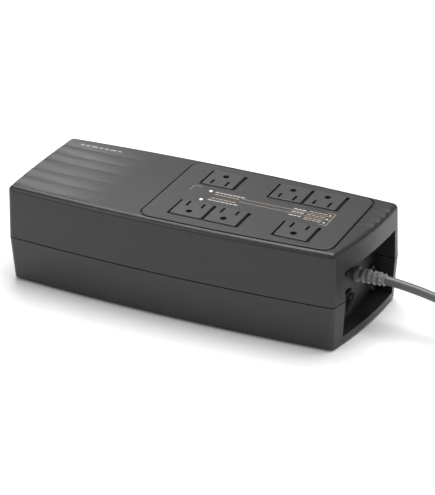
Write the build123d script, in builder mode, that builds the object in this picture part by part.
from build123d import *
import math
import os

os.makedirs("parts", exist_ok=True)

# A slim standby power supply for a desk: a long low case in two shells, a raised panel
# with six grounded outlets on top, and a recess in the right end that holds the mains
# cord, the rocker switch, the breaker and the data sockets.
# X runs along the case, Y across it (the user's side is -Y), Z is up.
# The origin is on the resting plane, under the middle of the case.

# ---- Driving dimensions, millimetres ------------------------------------------------
FOOT_HEIGHT = 1.2
SEAM_LOW, SEAM_HIGH = 38.6, 39.4
COVER_TOP = 83.4
WALL = 2.5
ROOF = 3.0
FLOOR_TOP = FOOT_HEIGHT + WALL
LOWER_TAPER = 1.8
UPPER_TAPER = 1.3
CORNER_RADIUS = 4.6
EDGE_RADIUS = 4.0

# Plan of the case at its widest, the seam: corners and the middle of each bowed side.
FRONT_LEFT, FRONT_MIDDLE, FRONT_RIGHT = (-146.0, -52.6), (-7.0, -57.5), (134.73, -51.8)
BACK_LEFT, BACK_MIDDLE, BACK_RIGHT = (-146.0, 53.0), (-7.0, 57.5), (147.38, 51.6)
RIGHT_MIDDLE, LEFT_MIDDLE = (144.83, -1.0), (-147.5, 0.0)

# Recess in the right end, and the plate that closes its back.
RECESS_FRONT, RECESS_BACK = -37.0, 42.0
RECESS_LOW, RECESS_HIGH = 8.0, 64.0
RECESS_X = 131.0
RECESS_WALL = 2.2
PLATE = 2.2
BEYOND = 170.0

# Outlet panel and its grounded outlets.
PANEL_X = 50.0
PANEL_LEFT, PANEL_RIGHT = -28.7, 128.6
PANEL_LOW, PANEL_TOP = 82.0, 84.0
PANEL_INSET = 6.55
PANEL_CORNER = 9.0
GROOVE = 1.2
COLUMN_PITCH = 29.1
COLUMNS = [-1.5 * COLUMN_PITCH, -0.5 * COLUMN_PITCH, 1.5 * COLUMN_PITCH]
OUTLET_LENGTH, OUTLET_WIDTH = 26.7, 25.0
OUTLET_TOP = 85.0
OUTLET_V = -28.0
OUTLET_GAP = 2.2
BLADE_V, BLADE_HALF_PITCH = -21.1, 6.35
GROUND_V = -33.0
SLOT_THICK, HOT_SLOT, NEUTRAL_SLOT, GROUND_HOLE = 2.0, 6.8, 8.4, 5.2

ROWS = {"front": 1, "back": -1}
TRAY_LOW, TRAY_TOP = 64.8, 79.8
LIGHTS = [(5.1, -9.6), (5.9, 6.4)]
BOARD_LIGHTS_TOP = 77.6

# Devices on the plate at the back of the recess.
SWITCH_Y, SWITCH_Z = -17.0, 26.5
ROCKER_PIVOT_X, ROCKER_RADIUS, ROCKER_HALF, ROCKER_TILT = 132.0, 7.2, 4.6, 10.0
BREAKER_Y, BREAKER_Z = 31.0, 27.0
JACK_Y, JACK_Z = -17.0, 55.5
USB_Y, USB_Z = 15.0, 56.0
PLATE_SCREW_Y, PLATE_SCREW_Z = (-33.5, 37.5), (11.5, 60.5)

# Mains cord, from the tip of its strain relief, and the plug at its end.
CORD = 7.4
CORD_EXIT = (155.0, 3.0, 41.0)
RELIEF_BASE, RELIEF_TIP, RELIEF_GROOVES = 6.2, 5.1, 5
CORD_ROUTE = [CORD_EXIT, (173.0, 3.1, 39.4), (197.0, 3.7, 34.4), (221.0, 4.1, 27.8),
              (241.0, 4.3, 21.6), (254.0, 4.4, 18.7)]
COIL_X, COIL_Y = 254.0, 44.3
COIL_TURN = 44.0
COIL_LAYERS = 3
TAIL_ROUTE = [(261.0, -3.5, 3.75), (282.0, -3.3, 3.75), (301.0, 4.8, 4.4), (315.0, 19.2, 7.6),
              (321.4, 34.4, 11.0)]
PLUG_HEADING = 67.2
PLUG_WIDE, PLUG_THICK, PLUG_LENGTH, PLUG_NECK = 25.5, 22.0, 46.0, 13.0
PLUG_BLADE_X = -4.6

# Battery in its well, and the sliding door under it.
BATTERY_X = (-139.0, -5.0)
BATTERY_HALF = 33.5
BATTERY_LOW, BATTERY_HIGH = 3.8, 63.8
TERMINAL_Y, TERMINAL_Z = (-22.0, 22.0), 50.0
DOOR_RIGHT = -1.0
DOOR_HALF, RAIL_HALF = 36.5, 38.3
RAIL_LOW, DOOR_TOP, LEDGE_TOP = 2.5, 3.7, 5.3
SLIDE_GAP = 0.3
BOTTOM_RADIUS = 1.6

# Fastenings, feet and openings in the floor.
CORNER_BOSSES = [(-138.5, -45.5), (-138.5, 45.5), (116.0, -45.5), (116.0, 45.5)]
BOSSES = CORNER_BOSSES + [(8.0, -47.5), (8.0, 47.5)]
LIP_CLEARANCE = 2.4
BOSS_RADIUS = 4.6
SCREW_SEAT = 26.0
BOARD_POSTS = [(70.0, -42.5), (70.0, 42.5), (102.0, -42.5), (102.0, 42.5)]
BOARD_LOW = 9.0
CORE_X, CORE_LOW = 13.0, 5.0
FEET = [(-120.0, -44.6), (-120.0, 44.6), (126.0, -41.0), (130.0, 41.0)]
FOOT_RADIUS = 4.5
FOOT_SINK = 0.8
KEYHOLES = [(84.0, -30.0), (84.0, 30.0)]
VENT_FIRST, VENT_LAST, VENT_PITCH = 14, 54, 6


def save(piece, name):
    piece.part.label = name
    export_step(piece.part, f"parts/{name}.step")


def case_outline(inset, height):
    """Plan of the case at a height, `inset` mm inside its widest line."""
    with BuildSketch(Plane.XY.offset(height)) as outline:
        with BuildLine():
            ThreePointArc(FRONT_LEFT, FRONT_MIDDLE, FRONT_RIGHT)
            ThreePointArc(FRONT_RIGHT, RIGHT_MIDDLE, BACK_RIGHT)
            ThreePointArc(BACK_RIGHT, BACK_MIDDLE, BACK_LEFT)
            ThreePointArc(BACK_LEFT, LEFT_MIDDLE, FRONT_LEFT)
        make_face()
        if inset:
            offset(amount=-inset, kind=Kind.INTERSECTION)
    return outline.sketch


def tapered_block(low, low_inset, high, high_inset):
    """A block of the case's plan whose sides lean in from one height to another."""
    with BuildPart() as block:
        loft([case_outline(low_inset, low), case_outline(high_inset, high)])
    return block.part


def lower_block():
    """The solid outside shape of the lower half of the case."""
    with BuildPart() as block:
        add(tapered_block(FOOT_HEIGHT, LOWER_TAPER, SEAM_LOW, 0.0))
        fillet(upright_corners(block), CORNER_RADIUS)
        fillet(block.faces().sort_by(Axis.Z)[0].edges(), BOTTOM_RADIUS)
    return block.part


def upright_corners(block):
    """The four upright edges at the corners of a block of the case's plan."""
    return block.edges().filter_by(lambda edge: 30 < edge.length < 50 and abs(edge.center().X) > 120)


def bar(low, high, y, z, radius, mode=Mode.ADD):
    """A round bar or hole along X."""
    with Locations(Location(((low + high) / 2, y, z), (0, 90, 0))):
        Cylinder(radius, high - low, mode=mode)


def around(centre, half):
    """The two ends of a span with this middle and this half length."""
    return centre - half, centre + half


def box_between(x, y, z, mode=Mode.ADD):
    """A box given by its lowest and highest value along each axis."""
    with Locations(((x[0] + x[1]) / 2, (y[0] + y[1]) / 2, (z[0] + z[1]) / 2)):
        Box(x[1] - x[0], y[1] - y[0], z[1] - z[0], mode=mode)


def post(x, y, low, high, radius, mode=Mode.ADD):
    """An upright round post or hole."""
    with Locations((x, y, (low + high) / 2)):
        Cylinder(radius, high - low, mode=mode)


def panel_outline(margin):
    """Plan of the outlet panel, `margin` mm larger than the panel all round."""
    with BuildSketch(Plane.XY.offset(PANEL_LOW)) as outline:
        add(case_outline(PANEL_INSET - margin, 0))
        with Locations(((PANEL_LEFT + PANEL_RIGHT) / 2, 0)):
            Rectangle(PANEL_RIGHT - PANEL_LEFT + 2 * margin, 150, mode=Mode.INTERSECT)
        fillet(outline.vertices(), PANEL_CORNER + margin)
    return outline.sketch


# ---- Top cover ----------------------------------------------------------------------
RIB_VALLEYS = [-46.5, -30.0, -13.5, 4.3, 19.0, 34.5, 52.0]
RIB_DEPTH = 3.6
RIB_ROOF = 5.6
RIB_START, RIB_END = -150.0, -62.0
NOSE_VALLEYS = [4.0, 13.5, 23.0, 32.5, 42.0]
NOSE_RIB_DEPTH = 1.5
NOSE_RIB_START, NOSE_RIB_END = 131.5, 150.0
FADED = 0.05


def rib_section(x, low_y, high_y, depth):
    """What is cut away in front of one rib's crest, deepest at its front."""
    with BuildSketch(Plane(origin=(x, 0, COVER_TOP), x_dir=(0, 1, 0), z_dir=(1, 0, 0))) as section:
        with BuildLine():
            Line((low_y, 1.0), (low_y, -depth))
            ThreePointArc((low_y, -depth), ((2 * low_y + high_y) / 3, -0.45 * depth), (high_y, 0.02))
            Line((high_y, 0.02), (high_y, 1.0))
            Line((high_y, 1.0), (low_y, 1.0))
        make_face()
    return section.sketch


with BuildPart() as cover_hollow:
    add(tapered_block(SEAM_LOW - 2, WALL, COVER_TOP - ROOF, WALL + UPPER_TAPER))
    box_between((RECESS_X, BEYOND), (RECESS_FRONT - RECESS_WALL, RECESS_BACK + RECESS_WALL),
                (0, RECESS_HIGH + RECESS_WALL), mode=Mode.SUBTRACT)
    # The roof is thicker under the ribs, which are cut deeper than its usual thickness.
    box_between((-BEYOND, RIB_END), (-80, 80), (COVER_TOP - RIB_ROOF, COVER_TOP), mode=Mode.SUBTRACT)

with BuildPart() as top_cover:
    add(tapered_block(SEAM_HIGH, 0.0, COVER_TOP, UPPER_TAPER))
    fillet(upright_corners(top_cover), CORNER_RADIUS)
    fillet(top_cover.faces().sort_by(Axis.Z)[-1].edges(), EDGE_RADIUS)
    add(cover_hollow.part, mode=Mode.SUBTRACT)
    box_between((RECESS_X, BEYOND), (RECESS_FRONT, RECESS_BACK), (0, RECESS_HIGH), mode=Mode.SUBTRACT)
    for low_y, high_y in zip(RIB_VALLEYS, RIB_VALLEYS[1:]):
        loft([rib_section(RIB_START, low_y, high_y, RIB_DEPTH),
              rib_section(RIB_END, low_y, high_y, FADED)], mode=Mode.SUBTRACT)
    for low_y, high_y in zip(NOSE_VALLEYS, NOSE_VALLEYS[1:]):
        loft([rib_section(NOSE_RIB_START, low_y, high_y, FADED),
              rib_section(NOSE_RIB_END, low_y, high_y, NOSE_RIB_DEPTH)], mode=Mode.SUBTRACT)
    extrude(panel_outline(GROOVE), amount=10, mode=Mode.SUBTRACT)
    box_between((-12.0, 112.0), (-43.6, 43.6), (70, 90), mode=Mode.SUBTRACT)
    for x, y in BOSSES:
        post(x, y, SEAM_LOW, COVER_TOP - ROOF + 0.2, 3.4)
        post(x, y, SEAM_LOW, SEAM_LOW + 12, 1.5, mode=Mode.SUBTRACT)
    for y in PLATE_SCREW_Y:
        box_between((121.0, RECESS_X - PLATE), around(y, 3.5), (56, COVER_TOP - ROOF + 0.2))
        bar(121.5, RECESS_X, y, PLATE_SCREW_Z[1], 1.3, mode=Mode.SUBTRACT)
save(top_cover, "top_cover")

# ---- Bottom shell -------------------------------------------------------------------
with BuildPart() as shell_hollow:
    add(tapered_block(FLOOR_TOP, WALL + LOWER_TAPER, SEAM_LOW + 2, WALL))
    box_between((RECESS_X, BEYOND), (RECESS_FRONT - RECESS_WALL, RECESS_BACK + RECESS_WALL),
                (RECESS_LOW - RECESS_WALL, 90), mode=Mode.SUBTRACT)

with BuildPart() as shell_lip:
    extrude(case_outline(WALL - 0.2, SEAM_LOW - 3), amount=3)
    extrude(case_outline(WALL + 0.15, SEAM_LOW), amount=3)
    extrude(case_outline(WALL + 1.4, SEAM_LOW - 5), amount=10, mode=Mode.SUBTRACT)
    box_between((124.0, BEYOND), (-80, 80), (0, 90), mode=Mode.SUBTRACT)
    for x, y in CORNER_BOSSES:
        post(x, y, 0, 90, BOSS_RADIUS + LIP_CLEARANCE, mode=Mode.SUBTRACT)

with BuildPart() as bottom_shell:
    add(lower_block())
    add(shell_hollow.part, mode=Mode.SUBTRACT)
    add(shell_lip.part)
    box_between((RECESS_X, BEYOND), (RECESS_FRONT, RECESS_BACK), (RECESS_LOW, 90), mode=Mode.SUBTRACT)
    # The ledge round the battery well, and the undercut way that the door slides in.
    box_between((-145.0, DOOR_RIGHT + 4), (-RAIL_HALF - 3, RAIL_HALF + 3), (DOOR_TOP, LEDGE_TOP))
    box_between((-160, DOOR_RIGHT + SLIDE_GAP), (-DOOR_HALF - SLIDE_GAP, DOOR_HALF + SLIDE_GAP),
                (0, RAIL_LOW - SLIDE_GAP), mode=Mode.SUBTRACT)
    box_between((-160, DOOR_RIGHT + SLIDE_GAP), (-RAIL_HALF - SLIDE_GAP, RAIL_HALF + SLIDE_GAP),
                (RAIL_LOW - SLIDE_GAP, DOOR_TOP), mode=Mode.SUBTRACT)
    box_between((BATTERY_X[0] - 1.5, BATTERY_X[1] + 1.5), (-BATTERY_HALF - 0.8, BATTERY_HALF + 0.8),
                (0, LEDGE_TOP + 1), mode=Mode.SUBTRACT)
    for x, y in BOSSES:
        post(x, y, FLOOR_TOP - 0.5, SEAM_LOW, BOSS_RADIUS)
        post(x, y, 0, SCREW_SEAT, 3.4, mode=Mode.SUBTRACT)
        post(x, y, 0, SEAM_LOW, 1.7, mode=Mode.SUBTRACT)
    for x, y in BOARD_POSTS:
        post(x, y, FLOOR_TOP - 0.5, BOARD_LOW, 2.8)
        post(x, y, FLOOR_TOP + 1, BOARD_LOW, 1.2, mode=Mode.SUBTRACT)
    for x, y in FEET:
        post(x, y, 0, FOOT_HEIGHT + FOOT_SINK, FOOT_RADIUS + 0.2, mode=Mode.SUBTRACT)
    for y in PLATE_SCREW_Y:
        box_between((121.0, RECESS_X - PLATE), around(y, 3.5), (FLOOR_TOP - 0.5, 15.0))
        bar(121.5, RECESS_X, y, PLATE_SCREW_Z[0], 1.3, mode=Mode.SUBTRACT)
    for x, y in KEYHOLES:
        post(x, y, 0, FLOOR_TOP + 1, 4.5, mode=Mode.SUBTRACT)
        box_between((x, x + 9), around(y, 2.25), (0, FLOOR_TOP + 1), mode=Mode.SUBTRACT)
        post(x + 9, y, 0, FLOOR_TOP + 1, 2.25, mode=Mode.SUBTRACT)
    for x in range(VENT_FIRST, VENT_LAST, VENT_PITCH):
        for y in (-34, 34):
            box_between((x, x + 2.4), around(y, 9), (0, FLOOR_TOP + 1), mode=Mode.SUBTRACT)
save(bottom_shell, "bottom_shell")

# ---- Battery door: a plate with side rails, flush with the floor and the left end -----
with BuildPart() as door_plate:
    box_between((-160, DOOR_RIGHT), (-DOOR_HALF, DOOR_HALF), (0, RAIL_LOW))
    box_between((-160, DOOR_RIGHT), (-RAIL_HALF, RAIL_HALF), (RAIL_LOW, DOOR_TOP - SLIDE_GAP))

with BuildPart() as battery_door:
    add(lower_block())
    add(door_plate.part, mode=Mode.INTERSECT)
    for rib in range(6):
        x = -26.0 + 3.2 * rib
        box_between((x, x + 1.4), (-16, 16), (0, FOOT_HEIGHT + 0.6), mode=Mode.SUBTRACT)
save(battery_door, "battery_door")

with BuildPart() as rubber_feet:
    for x, y in FEET:
        post(x, y, 0, FOOT_HEIGHT + FOOT_SINK, FOOT_RADIUS)
    fillet(rubber_feet.edges().filter_by(GeomType.CIRCLE).group_by(Axis.Z)[0], 0.6)
save(rubber_feet, "rubber_feet")

with BuildPart() as case_screws:
    for x, y in BOSSES:
        post(x, y, SCREW_SEAT - 2.2, SCREW_SEAT, 3.0)
        post(x, y, SCREW_SEAT, SEAM_LOW + 10, 1.45)
        with Locations((x, y, SCREW_SEAT - 1.7)):
            Box(3.6, 0.8, 1.0, mode=Mode.SUBTRACT)
            Box(0.8, 3.6, 1.0, mode=Mode.SUBTRACT)
save(case_screws, "case_screws")

# ---- Outlet panel ---------------------------------------------------------------------
with BuildPart() as outlet_panel:
    extrude(panel_outline(0), amount=PANEL_TOP - PANEL_LOW)
    fillet(outlet_panel.faces().sort_by(Axis.Z)[-1].edges(), 0.7)
    for side in ROWS.values():
        for u in COLUMNS:
            x, y = PANEL_X + side * u, side * OUTLET_V
            reach = OUTLET_LENGTH / 2 + OUTLET_GAP
            box_between(around(x, reach), (y - OUTLET_WIDTH / 2 - 0.2, y + OUTLET_WIDTH / 2 + 0.2),
                        (70, 90), mode=Mode.SUBTRACT)
    for x, y in LIGHTS:
        post(x, y, 70, 90, 1.7, mode=Mode.SUBTRACT)
    for x in (-2.5, 13.5):
        post(x, 0, BOARD_LIGHTS_TOP, PANEL_LOW + 0.5, 1.4)
save(outlet_panel, "outlet_panel")


def make_outlet(side, u):
    """One grounded outlet face: a raised block on a flange, with two blade slots and a round hole."""
    x, y = PANEL_X + side * u, side * OUTLET_V
    half_length, half_width = OUTLET_LENGTH / 2, OUTLET_WIDTH / 2
    with BuildPart() as outlet:
        box_between(around(x, half_length), around(y, half_width),
                    (PANEL_LOW, OUTLET_TOP))
        fillet(outlet.edges().filter_by(Axis.Z), 1.2)
        fillet(outlet.faces().sort_by(Axis.Z)[-1].edges(), 0.6)
        flange = COLUMN_PITCH / 2 - 0.05
        box_between(around(x, flange), (y - half_width - 1.7, y + half_width + 1.7),
                    (TRAY_TOP, PANEL_LOW))
        for blade, length in ((-BLADE_HALF_PITCH, NEUTRAL_SLOT), (BLADE_HALF_PITCH, HOT_SLOT)):
            with Locations((x + side * blade, side * BLADE_V, OUTLET_TOP)):
                Box(SLOT_THICK, length, 20, mode=Mode.SUBTRACT)
        post(x, side * GROUND_V, 70, 90, GROUND_HOLE / 2, mode=Mode.SUBTRACT)
    return outlet


def make_strip(side, base, leaves, offsets, gap):
    """A brass strip along one row, with a pair of spring leaves under every outlet."""
    with BuildPart() as strip:
        ends = [PANEL_X + side * (COLUMNS[0] - 14), PANEL_X + side * (COLUMNS[-1] + 14)]
        across = sorted(side * v for v in base)
        box_between(sorted(ends), across, (TRAY_LOW + 1.4, TRAY_LOW + 2.2))
        for u in COLUMNS:
            x = PANEL_X + side * (u + offsets)
            for leaf in (-gap / 2 - 0.5, gap / 2):
                box_between((x + leaf, x + leaf + 0.5), sorted(side * v for v in leaves),
                            (TRAY_LOW + 2.2, TRAY_TOP - 1.0))
    return strip


for row, side in ROWS.items():
    for number, u in enumerate(COLUMNS, start=1):
        save(make_outlet(side, u), f"outlet_{row}_{number}")
    save(make_strip(side, (-19.4, -14.5), (-22.2, -17.6), BLADE_HALF_PITCH, 1.6), f"hot_strip_{row}")
    save(make_strip(side, (-28.4, -23.2), (-24.6, -20.0), -BLADE_HALF_PITCH, 1.6), f"neutral_strip_{row}")
    save(make_strip(side, (-36.5, -30.0), (-35.0, -31.0), 0.0, 4.6), f"ground_strip_{row}")
    with BuildPart() as contact_tray:
        span = sorted(side * v for v in (-42.2, -13.2))
        box_between((-10.0, 110.0), span, (TRAY_LOW, TRAY_TOP))
        box_between((-8.8, 108.8), (span[0] + 1.2, span[1] - 1.2), (TRAY_LOW + 1.2, TRAY_TOP),
                    mode=Mode.SUBTRACT)
        box_between((-9.0, 109.0), sorted((side * -29.7, side * -28.7)), (TRAY_LOW + 1, TRAY_TOP - 0.5))
    save(contact_tray, f"contact_tray_{row}")

# ---- Status lights between the rows, and their small board -----------------------------
for name, (x, y) in zip(("line_light", "battery_light"), LIGHTS):
    with BuildPart() as lens:
        post(x, y, BOARD_LIGHTS_TOP, PANEL_TOP + 0.5, 1.5)
        fillet(lens.faces().sort_by(Axis.Z)[-1].edges(), 0.5)
    save(lens, name)

with BuildPart() as light_board:
    box_between((-5.0, 17.0), (-12.0, 12.0), (BOARD_LIGHTS_TOP - 1.6, BOARD_LIGHTS_TOP))
save(light_board, "light_board")

# ---- Plate at the back of the recess ----------------------------------------------------
with BuildPart() as end_panel:
    box_between((RECESS_X - PLATE, RECESS_X), (RECESS_FRONT - 2, RECESS_BACK + 2),
                (RECESS_LOW - 2, RECESS_HIGH + 2))
    bar(120, 140, CORD_EXIT[1], CORD_EXIT[2], 6.2, mode=Mode.SUBTRACT)
    bar(120, 140, BREAKER_Y, BREAKER_Z, 5.0, mode=Mode.SUBTRACT)
    box_between((120, 140), around(SWITCH_Y, 5.8), around(SWITCH_Z, 8.1), mode=Mode.SUBTRACT)
    box_between((120, 140), around(JACK_Y, 13.2), around(JACK_Z, 6.7), mode=Mode.SUBTRACT)
    box_between((120, 140), around(USB_Y, 6.2), around(USB_Z, 5.7), mode=Mode.SUBTRACT)
    for y in PLATE_SCREW_Y:
        for z in PLATE_SCREW_Z:
            bar(120, 140, y, z, 1.6, mode=Mode.SUBTRACT)
save(end_panel, "end_panel")

with BuildPart() as end_panel_screws:
    for y in PLATE_SCREW_Y:
        for z in PLATE_SCREW_Z:
            bar(RECESS_X, RECESS_X + 1.8, y, z, 2.7)
            bar(RECESS_X - 9, RECESS_X, y, z, 1.15)
            with Locations((RECESS_X + 1.6, y, z)):
                Box(1.2, 3.4, 0.7, mode=Mode.SUBTRACT)
                Box(1.2, 0.7, 3.4, mode=Mode.SUBTRACT)
save(end_panel_screws, "end_panel_screws")

# Rocker switch: a framed housing, and a rocker that tips about a pin across it.
with BuildPart() as switch_housing:
    box_between((112.0, RECESS_X), around(SWITCH_Y, 5.6), around(SWITCH_Z, 7.9))
    box_between((RECESS_X, RECESS_X + 2.2), around(SWITCH_Y, 6.4), around(SWITCH_Z, 8.9))
    fillet(switch_housing.faces().sort_by(Axis.X)[-1].edges(), 0.5)
    box_between((124.0, 140), (SWITCH_Y - ROCKER_HALF - 0.3, SWITCH_Y + ROCKER_HALF + 0.3),
                (SWITCH_Z - ROCKER_RADIUS - 0.3, SWITCH_Z + ROCKER_RADIUS + 0.3), mode=Mode.SUBTRACT)
    with Locations(Location((ROCKER_PIVOT_X, SWITCH_Y, SWITCH_Z), (90, 0, 0))):
        Cylinder(1.3, 2 * ROCKER_HALF + 1.4, mode=Mode.SUBTRACT)
    for z in (-5, 0, 5):
        box_between((104.0, 112.0), around(SWITCH_Y, 2.4), around(SWITCH_Z + z, 0.4))
save(switch_housing, "switch_housing")

rocker_plane = Plane(origin=(ROCKER_PIVOT_X, SWITCH_Y, SWITCH_Z), x_dir=(1, 0, 0), z_dir=(0, -1, 0))
with BuildPart() as switch_rocker:
    with BuildSketch(rocker_plane):
        Circle(ROCKER_RADIUS)
        with BuildLine():
            ThreePointArc((3.6, -9), (2.5, 0), (3.6, 9))
            Line((3.6, 9), (12, 9))
            Line((12, 9), (12, -9))
            Line((12, -9), (3.6, -9))
        make_face(mode=Mode.SUBTRACT)
    extrude(amount=ROCKER_HALF, both=True)
    with BuildSketch(rocker_plane):
        Circle(1.1)
    extrude(amount=ROCKER_HALF + 0.5, both=True)
    box_between((RECESS_X - 10, ROCKER_PIVOT_X - 4.0), around(SWITCH_Y, 8), around(SWITCH_Z, 9),
                mode=Mode.SUBTRACT)
rocker_axis = Axis((ROCKER_PIVOT_X, SWITCH_Y, SWITCH_Z), (0, 1, 0))
switch_rocker.part = switch_rocker.part.rotate(rocker_axis, ROCKER_TILT)
save(switch_rocker, "switch_rocker")

# Thermal breaker: body, threaded neck, nut and the reset button that pops out.
with BuildPart() as breaker_body:
    box_between((107.0, RECESS_X - PLATE), around(BREAKER_Y, 7), around(BREAKER_Z, 7))
    bar(RECESS_X - PLATE, RECESS_X + 3.0, BREAKER_Y, BREAKER_Z, 4.8)
    bar(121.0, 140, BREAKER_Y, BREAKER_Z, 3.3, mode=Mode.SUBTRACT)
    for y in (-4, 4):
        box_between((99.5, 107.0), around(BREAKER_Y + y, 0.4), around(BREAKER_Z, 3))
save(breaker_body, "breaker_body")

with BuildPart() as breaker_nut:
    with BuildSketch(Plane.YZ.offset(RECESS_X)):
        with Locations((BREAKER_Y, BREAKER_Z)):
            RegularPolygon(7.5, 6)
            Circle(4.8, mode=Mode.SUBTRACT)
    extrude(amount=2.2)
save(breaker_nut, "breaker_nut")

with BuildPart() as breaker_button:
    bar(121.6, RECESS_X + 4.6, BREAKER_Y, BREAKER_Z, 3.0)
    fillet(breaker_button.faces().sort_by(Axis.X)[-1].edges(), 0.6)
save(breaker_button, "breaker_button")

# Surge-protected phone line sockets, in one block, and the data socket.
with BuildPart() as phone_jacks:
    box_between((113.0, RECESS_X + 0.5), around(JACK_Y, 13), around(JACK_Z, 6.5))
    for y in (-6.5, 6.5):
        box_between((119.0, 140), around(JACK_Y + y, 4.85), (JACK_Z - 4.9, JACK_Z + 2.3), mode=Mode.SUBTRACT)
        box_between((119.0, 140), around(JACK_Y + y, 3.1), (JACK_Z + 2.2, JACK_Z + 4.4), mode=Mode.SUBTRACT)
save(phone_jacks, "phone_jacks")

with BuildPart() as usb_shell:
    box_between((115.0, RECESS_X + 0.5), around(USB_Y, 6), around(USB_Z, 5.5))
    fillet(usb_shell.edges().filter_by(Axis.X).group_by(Axis.Z)[-1], 2.4)
    box_between((118.0, 140), around(USB_Y, 4.25), around(USB_Z, 3.9), mode=Mode.SUBTRACT)
save(usb_shell, "usb_shell")

with BuildPart() as usb_tongue:
    box_between((118.0, RECESS_X - 1.0), around(USB_Y, 2.8), around(USB_Z, 1.6))
save(usb_tongue, "usb_tongue")

# ---- Battery, transformer and main board ------------------------------------------------
with BuildPart() as battery_case:
    box_between((BATTERY_X[0], BATTERY_X[1] - 7), (-BATTERY_HALF, BATTERY_HALF), (BATTERY_LOW, BATTERY_HIGH))
    fillet(battery_case.edges().filter_by(Axis.X), 2.0)
save(battery_case, "battery_case")

with BuildPart() as battery_lid:
    box_between((BATTERY_X[1] - 7, BATTERY_X[1] - 2), (-BATTERY_HALF + 0.6, BATTERY_HALF - 0.6),
                (BATTERY_LOW + 0.6, BATTERY_HIGH - 0.6))
    fillet(battery_lid.faces().sort_by(Axis.X)[-1].edges(), 1.2)
save(battery_lid, "battery_lid")

with BuildPart() as battery_terminals:
    for y in TERMINAL_Y:
        box_between((BATTERY_X[1] - 2, BATTERY_X[1] + 5), around(y, 2.4), around(TERMINAL_Z, 0.4))
save(battery_terminals, "battery_terminals")

for name, y in zip(("battery_lead_plus", "battery_lead_minus"), TERMINAL_Y):
    with BuildPart() as lead:
        with BuildLine() as route:
            FilletPolyline((BATTERY_X[1] + 5, y, TERMINAL_Z), (BATTERY_X[1] + 12, y, TERMINAL_Z),
                           (24.0, 1.2 * y, 57.0), (66.0, 1.3 * y, 54.0), (67.2, 1.3 * y, BOARD_LOW + 1.65),
                           radius=2.4)
        with BuildSketch(Plane(origin=route.line @ 0, z_dir=route.line % 0)):
            Circle(1.4)
        sweep(path=route.line)
    save(lead, name)

with BuildPart() as transformer_core:
    box_between((CORE_X, CORE_X + 50), (-15.0, 15.0), (CORE_LOW, CORE_LOW + 42))
    for x in (CORE_X + 9, CORE_X + 33):
        box_between((x, x + 8), (-20, 20), (CORE_LOW + 8, CORE_LOW + 34), mode=Mode.SUBTRACT)
save(transformer_core, "transformer_core")

with BuildPart() as transformer_winding:
    box_between((CORE_X + 9.2, CORE_X + 40.8), (-23.0, 23.0), (CORE_LOW + 8.3, CORE_LOW + 33.7))
    fillet(transformer_winding.edges().filter_by(Axis.Z), 5.0)
    box_between((CORE_X + 16.9, CORE_X + 33.1), (-15.1, 15.1), (0, 90), mode=Mode.SUBTRACT)
save(transformer_winding, "transformer_winding")

with BuildPart() as transformer_bracket:
    box_between((CORE_X - 1.4, CORE_X + 51.4), (-11.0, 11.0), (FLOOR_TOP, CORE_LOW + 43.2))
    box_between((CORE_X, CORE_X + 50), (-12.0, 12.0), (0, CORE_LOW + 42), mode=Mode.SUBTRACT)
    for x in (CORE_X - 9.4, CORE_X + 51.4):
        box_between((x, x + 8), (-11.0, 11.0), (FLOOR_TOP, FLOOR_TOP + 1.2))
        post(x + 4, 0, 0, 10, 1.6, mode=Mode.SUBTRACT)
save(transformer_bracket, "transformer_bracket")

with BuildPart() as main_board:
    box_between((66.0, 106.0), (-46.0, 46.0), (BOARD_LOW, BOARD_LOW + 1.6))
    for x, y in BOARD_POSTS:
        post(x, y, 0, 20, 1.3, mode=Mode.SUBTRACT)
save(main_board, "main_board")

with BuildPart() as board_screws:
    for x, y in BOARD_POSTS:
        post(x, y, BOARD_LOW + 1.6, BOARD_LOW + 3.2, 2.4)
        post(x, y, BOARD_LOW - 3.5, BOARD_LOW + 1.6, 1.15)
save(board_screws, "board_screws")

BOARD_TOP = BOARD_LOW + 1.6
with BuildPart() as relays:
    for y in (-31, -13, 5):
        box_between((69.5, 85.0), around(y, 8), (BOARD_TOP, BOARD_TOP + 15.5))
    fillet(relays.faces().group_by(Axis.Z)[-1].edges(), 0.8)
save(relays, "relays")

with BuildPart() as capacitors:
    for y in (-33, -15):
        post(95.5, y, BOARD_TOP, BOARD_TOP + 25, 8.0)
    fillet(capacitors.faces().group_by(Axis.Z)[-1].edges(), 1.2)
save(capacitors, "capacitors")

with BuildPart() as heat_sink:
    box_between((86.5, 89.0), (14.0, 44.0), (BOARD_TOP, 42.0))
    for y in (14.0, 21.0, 28.0, 35.0, 42.0):
        box_between((89.0, 98.0), (y, y + 2.0), (BOARD_TOP + 4, 42.0))
save(heat_sink, "heat_sink")

with BuildPart() as power_transistors:
    for y in (19, 29, 39):
        box_between((82.0, 86.5), around(y, 4.6), (BOARD_TOP + 6, BOARD_TOP + 21))
        for lead in (-2.5, 0, 2.5):
            box_between((83.4, 84.1), around(y + lead, 0.4), (BOARD_TOP, BOARD_TOP + 6))
save(power_transistors, "power_transistors")

with BuildPart() as surge_absorbers:
    for y in (20, 31):
        bar(72.0, 76.0, y, BOARD_TOP + 7.5, 5.2)
        for lead in (-2.5, 2.5):
            box_between((73.7, 74.3), around(y + lead, 0.3), (BOARD_TOP, BOARD_TOP + 3.5))
save(surge_absorbers, "surge_absorbers")

with BuildPart() as alarm_buzzer:
    post(96.5, 3.0, BOARD_TOP, BOARD_TOP + 9, 6.0)
    post(96.5, 3.0, BOARD_TOP + 6, BOARD_TOP + 10, 1.0, mode=Mode.SUBTRACT)
save(alarm_buzzer, "alarm_buzzer")

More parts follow.
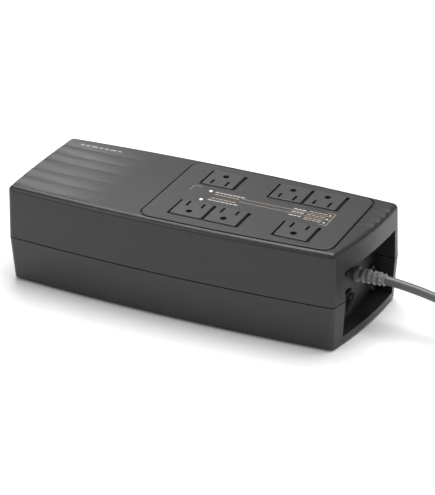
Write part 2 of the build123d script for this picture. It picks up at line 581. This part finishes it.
# ---- Mains cord ---------------------------------------------------------------------------
with BuildPart() as strain_relief:
    bar(RECESS_X - PLATE - 2.4, RECESS_X - PLATE, CORD_EXIT[1], CORD_EXIT[2], 8.0)
    bar(RECESS_X - PLATE, RECESS_X, CORD_EXIT[1], CORD_EXIT[2], 6.0)
    with Locations(Location(((RECESS_X + CORD_EXIT[0]) / 2, CORD_EXIT[1], CORD_EXIT[2]), (0, 90, 0))):
        Cone(RELIEF_BASE, RELIEF_TIP, CORD_EXIT[0] - RECESS_X)
    for ring in range(RELIEF_GROOVES):
        x = RECESS_X + 4.2 + ring * 4.4
        with Locations(Location((x, CORD_EXIT[1], CORD_EXIT[2]), (0, 90, 0))):
            Cylinder(10, 1.3, mode=Mode.SUBTRACT)
            Cylinder(CORD / 2 + 0.6, 1.5)
save(strain_relief, "strain_relief")


def bend_radii(points):
    """Radius of the arc at each point between two runs.

    It is 0.45 of the shorter run over the tangent of half the turn.
    """
    places = [Vector(*point) for point in points]
    radii = []
    for before, here, after in zip(places, places[1:], places[2:]):
        run_in, run_out = here - before, after - here
        turn = math.radians(run_in.get_angle(run_out))
        radii.append(0.45 * min(run_in.length, run_out.length) / math.tan(turn / 2))
    return radii


def make_tube(points, name):
    """A length of the cord: straight runs joined by the largest arcs that they leave room for."""
    radii = bend_radii(points)
    print(name, "bend radii:", [round(radius, 1) for radius in radii])
    with BuildPart() as tube:
        with BuildLine() as route:
            FilletPolyline(*points, radius=radii)
        with BuildSketch(Plane(origin=route.line @ 0, z_dir=route.line % 0)):
            Circle(CORD / 2)
        sweep(path=route.line)
    length = sum(edge.length for edge in route.edges())
    print(name, "length", round(length, 1), "volume over section times length",
          round(tube.part.volume / (length * math.pi * CORD**2 / 4), 4))
    return tube


save(make_tube(CORD_ROUTE, "cord_run"), "cord_run")
save(make_tube(TAIL_ROUTE, "cord_tail"), "cord_tail")

with BuildPart() as cord_coil:
    with Locations((COIL_X, COIL_Y, COIL_LAYERS * CORD / 2)):
        Cylinder(COIL_TURN + CORD, COIL_LAYERS * CORD)
        Cylinder(COIL_TURN - CORD, COIL_LAYERS * CORD, mode=Mode.SUBTRACT)
    fillet(cord_coil.edges().filter_by(GeomType.CIRCLE), 2.6)
save(cord_coil, "cord_coil")

# Plug: its own Z runs out of its face; blades stand one above the other as it lies on its side.
heading = math.radians(PLUG_HEADING)
plug_plane = Plane(origin=TAIL_ROUTE[-1], x_dir=(math.sin(heading), -math.cos(heading), 0),
                   z_dir=(math.cos(heading), math.sin(heading), 0))
with BuildPart() as plug_body:
    with BuildSketch(plug_plane):
        Circle(5.0)
    with BuildSketch(plug_plane.offset(PLUG_NECK)):
        Circle(6.4)
    loft()
    with BuildSketch(plug_plane.offset(PLUG_NECK)):
        RectangleRounded(16.0, 14.0, 5.0)
    with BuildSketch(plug_plane.offset(PLUG_NECK + 12)):
        RectangleRounded(PLUG_WIDE, PLUG_THICK, 6.0)
    loft()
    with BuildSketch(plug_plane.offset(PLUG_NECK + 12)):
        RectangleRounded(PLUG_WIDE, PLUG_THICK, 6.0)
    extrude(amount=PLUG_LENGTH - PLUG_NECK - 12)
save(plug_body, "plug_body")

with BuildPart() as plug_blades:
    with BuildSketch(plug_plane.offset(PLUG_LENGTH)):
        with Locations((PLUG_BLADE_X, -BLADE_HALF_PITCH), (PLUG_BLADE_X, BLADE_HALF_PITCH)):
            Rectangle(6.35, 1.5)
    extrude(amount=18.0)
save(plug_blades, "plug_blades")

with BuildPart() as plug_ground_pin:
    with BuildSketch(plug_plane.offset(PLUG_LENGTH)):
        with Locations((PLUG_BLADE_X + BLADE_V - GROUND_V, 0)):
            Circle(2.4)
    extrude(amount=21.0)
    along_plug = Axis(TAIL_ROUTE[-1], plug_plane.z_dir)
    fillet(plug_ground_pin.edges().filter_by(GeomType.CIRCLE).sort_by(along_plug)[-1], 1.6)
save(plug_ground_pin, "plug_ground_pin")
